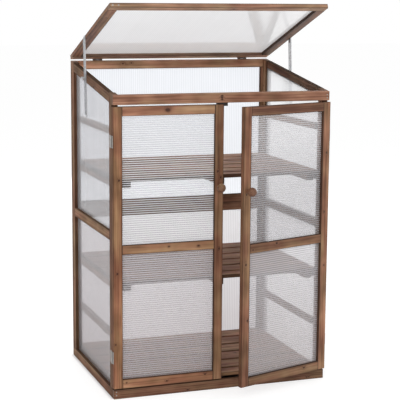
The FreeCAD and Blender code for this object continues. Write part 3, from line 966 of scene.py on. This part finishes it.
screwShape = {
    "radius": 0.0029,
    "dome": 0.0008,
    "cross": 0.0007,
    "armHalf": 0.2,
    "armSlope": 0.12,
    "armEnd": 0.62,
    "armEndSlope": 0.1,
    "sunk": 0.0006,
    "innerRing": 0.08,
    "rings": 9,
    "around": 24,
    "smoothBelow": 50,
}


def screwHead(centre, out, radius, spin):
    # Height over the rim is dome * (1 - r squared), less a cross where either arm passes
    side = out.orthogonal().normalized()
    other = out.cross(side)
    ring = np.linspace(1.0, screwShape["innerRing"], screwShape["rings"])
    angle = np.linspace(0, 2 * math.pi, screwShape["around"], endpoint=False)
    share, turn = np.meshgrid(ring, angle, indexing="ij")
    u = share * np.cos(turn)
    v = share * np.sin(turn)
    arm = np.minimum(abs(np.cos(spin) * u + np.sin(spin) * v),
                     abs(-np.sin(spin) * u + np.cos(spin) * v))
    beside = np.clip((screwShape["armHalf"] - arm) / screwShape["armSlope"], 0, 1)
    before = np.clip((screwShape["armEnd"] - share) / screwShape["armEndSlope"], 0, 1)
    lift = screwShape["dome"] * (1 - share**2) - screwShape["cross"] * (beside * before)
    flat = np.stack([u, v], axis=-1) * radius
    points = (
        np.array(centre) + flat[..., :1] * np.array(side) + flat[..., 1:] * np.array(other)
        + lift[..., None] * np.array(out)
    )
    skirt = points[:1] - screwShape["sunk"] * np.array(out)
    points = np.vstack([skirt, points]).reshape(-1, 3)
    ends = [
        np.array(centre) - screwShape["sunk"] * np.array(out),
        np.array(centre) + (screwShape["dome"] - screwShape["cross"]) * np.array(out),
    ]
    return np.vstack([points, ends]), closedGrid(screwShape["rings"] + 1, screwShape["around"])


def screwHeads(name, body, places, radius=screwShape["radius"]):
    # One mesh for all the heads of a batten, each with its cross turned its own way
    points = []
    faces = []
    random = np.random.default_rng(len(name))
    for centre, out in places:
        start = sum(len(group) for group in points)
        group, quads = screwHead(centre, out, radius, random.uniform(0, math.pi / 2))
        points.append(group)
        faces += [[corner + start for corner in face] for face in quads]
    mesh = bpy.data.meshes.new(name)
    mesh.from_pydata(np.vstack(points).tolist(), [], faces)
    shadeSmooth(mesh, screwShape["smoothBelow"])
    mesh.materials.append(dulled)
    return addPiece(name, mesh, body)


# Two screws in one end of the beam and two in one end of the base rail: the end, how far in
# along the rail, the heights in shares of the rail's own, and the heads' radius
frameScrews = {
    "front_beam": (1, 0.0085, (0.28, 0.58), 0.0021),
    "base_front_rail": (-1, 0.0090, (0.41, 0.76), 0.0021),
}
for node, (end, inset, heights, radius) in frameScrews.items():
    low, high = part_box(node)
    x = high.x - inset if end > 0 else low.x + inset
    places = [
        (Vector((x, low.y, low.z + share * (high.z - low.z))), Vector((0, -1, 0)))
        for share in heights
    ]
    screwHeads(node + "_screws", "cabinet", places, radius)

# The lid's front rail is screwed to the left rail through its front edge
lidScrewsIn = (0.0100, 0.0290)


def lidScrewPlaces():
    # Middle height of the front rail's outer face, in from its left end along the rail
    data = bpy.data.meshes["lid_front_rail_eased"]
    corners = getArray(data.vertices, "co", 3, np.float32).astype(float)
    ends = getArray(data.edges, "vertices", 2, np.int32)
    axes, local, half = battenFrame(corners, corners[ends[:, 1]] - corners[ends[:, 0]])
    middle = corners[0] - local[0] @ axes
    out = axes[1] if axes[1][1] < 0 else -axes[1]
    face = middle + out * half[1]
    return [
        (Vector(face - axes[0] * (half[0] - inset)), Vector(out)) for inset in lidScrewsIn
    ]


screwHeads("lid_screws", "lid", lidScrewPlaces())
print("screws set")


# Stage, lights and camera

stageLook = {
    "floor": (0.93, 0.93, 0.93, 1.0),
    "floorSize": 60.0,
    "floorGlow": 1.4,
    "glowShare": 0.5,
    "shadeInset": 0.02,
    # The paper's colour under the part, a painted shadow
    "paintedShadowUnder": (0.16, 0.15, 0.15, 1.0),
    "paintedShadowInset": 0.012,
    "skyStrength": 0.62,
    "floorLevel": -0.0003,
}

# Power, size, place and aim of each lamp
lamps = {
    "key": (58.0, 2.4, (-2.6, -3.5, 2.4), (0, 0.2, 0.6)),
    "fill": (20.0, 3.0, (3.4, -2.6, 1.6), (0, 0.2, 0.6)),
    "top": (30.0, 3.0, (0.2, 0.4, 4.2), (0, 0.3, 0.6)),
    "back": (70.0, 3.4, (0.6, 4.6, 1.9), (0, 0.4, 0.7)),
}

cameraPlace = {
    "spot": (-1.4418, -3.8029, 1.3127),
    "azimuth": 19.70,
    "down": 9.27,
    "roll": 0.41,
    "focalPixels": 1237.1,
    "framePixels": 400.0,
    "sensor": 36.0,
    "farthest": 100,
}


def seenRays(wire):
    # 1 for the camera's rays, reflections and rays sent on through clear parts
    rays = wire.node("ShaderNodeLightPath", {}, out=None)
    camera, glossy, passing = (
        Wire(wire.tree, rays.outputs[name])
        for name in ("Is Camera Ray", "Is Glossy Ray", "Is Transmission Ray")
    )
    return wire.maths("MAXIMUM", wire.maths("MAXIMUM", camera, glossy), passing)


def addStage():
    # A sheet of paper, which glows a little to the camera except under and close beside the part, and is painted
    # dark under the part as a painted shadow
    half = stageLook["floorSize"] / 2
    mesh = bpy.data.meshes.new("floor")
    square = ((-1, -1), (1, -1), (1, 1), (-1, 1))
    corners = [(x * half, y * half, stageLook["floorLevel"]) for x, y in square]
    mesh.from_pydata(corners, [], [(0, 1, 2, 3)])
    material, wire = startMaterial("floor paper")
    glow = wire.node("ShaderNodeEmission", {}, Strength=stageLook["floorGlow"])
    x, y = wire.objectPlace().parts()[:2]
    railLow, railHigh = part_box("base_front_rail")
    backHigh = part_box("back_lower_rails")[1]
    partHigh = cadBox[1]

    def outsideOf(width, reach, inset):
        # 0 inside and 1 outside a rectangle from the base rail's front back to reach
        beside = abs(x).between(width - inset, width)
        before = 1 - y.between(railLow.y, railLow.y + inset)
        behind = y.between(reach - inset, reach)
        return wire.maths("MAXIMUM", wire.maths("MAXIMUM", beside, before), behind)

    # Painted shadow: the paper under the part is darker
    paintedShadowUnder = outsideOf(railHigh.x, backHigh.y, stageLook["paintedShadowInset"])
    shade = wire.mixed(paintedShadowUnder, stageLook["paintedShadowUnder"], stageLook["floor"])
    paper = wire.node("ShaderNodeBsdfDiffuse", {}, Color=shade)
    outside = outsideOf(partHigh[0], partHigh[1], stageLook["shadeInset"])
    seen = seenRays(wire) * outside * stageLook["glowShare"]
    floorMix = wire.node("ShaderNodeMixShader", {}, i0=seen, i1=paper, i2=glow)
    wire.node("ShaderNodeOutputMaterial", {}, out=None, Surface=floorMix)
    mesh.materials.append(material)
    floor = bpy.data.objects.new("floor", mesh)
    bpy.context.scene.collection.objects.link(floor)


def addWorld():
    # White to the camera and to reflections, softer as light
    world = bpy.data.worlds.new("studio")
    bpy.context.scene.world = world
    world.use_nodes = True
    tree = world.node_tree
    tree.nodes.clear()
    wire = Wire(tree)
    strength = seenRays(wire) * (1 - stageLook["skyStrength"]) + stageLook["skyStrength"]
    sky = wire.node("ShaderNodeBackground", {}, Color=(1, 1, 1, 1), Strength=strength)
    wire.node("ShaderNodeOutputWorld", {}, out=None, Surface=sky)


def addLamp(name, power, size, spot, aim):
    lamp = bpy.data.lights.new(name, "AREA")
    lamp.energy = power
    lamp.shape = "DISK"
    lamp.size = size
    holder = bpy.data.objects.new(name, lamp)
    holder.location = spot
    holder.rotation_euler = (Vector(aim) - Vector(spot)).to_track_quat("-Z", "Y").to_euler()
    bpy.context.scene.collection.objects.link(holder)


def addCamera():
    azimuth, down, roll = (math.radians(cameraPlace[key]) for key in ("azimuth", "down", "roll"))
    ahead = Vector((math.sin(azimuth) * math.cos(down), math.cos(azimuth) * math.cos(down),
                    -math.sin(down)))
    level = Vector((math.cos(azimuth), -math.sin(azimuth), 0))
    upright = level.cross(ahead)
    right = level * math.cos(roll) + upright * math.sin(roll)
    up = upright * math.cos(roll) - level * math.sin(roll)
    lens = bpy.data.cameras.new("camera")
    lens.sensor_width = cameraPlace["sensor"]
    lens.lens = cameraPlace["focalPixels"] / cameraPlace["framePixels"] * cameraPlace["sensor"]
    lens.clip_end = cameraPlace["farthest"]
    camera = bpy.data.objects.new("camera", lens)
    turn = Matrix((right, up, -ahead)).transposed()
    camera.matrix_world = Matrix.Translation(cameraPlace["spot"]) @ turn.to_4x4()
    bpy.context.scene.collection.objects.link(camera)
    bpy.context.scene.camera = camera


addStage()
addWorld()
for name, settings in lamps.items():
    addLamp(name, *settings)
addCamera()
bpy.context.scene.view_settings.view_transform = "Standard"
print("stage set")
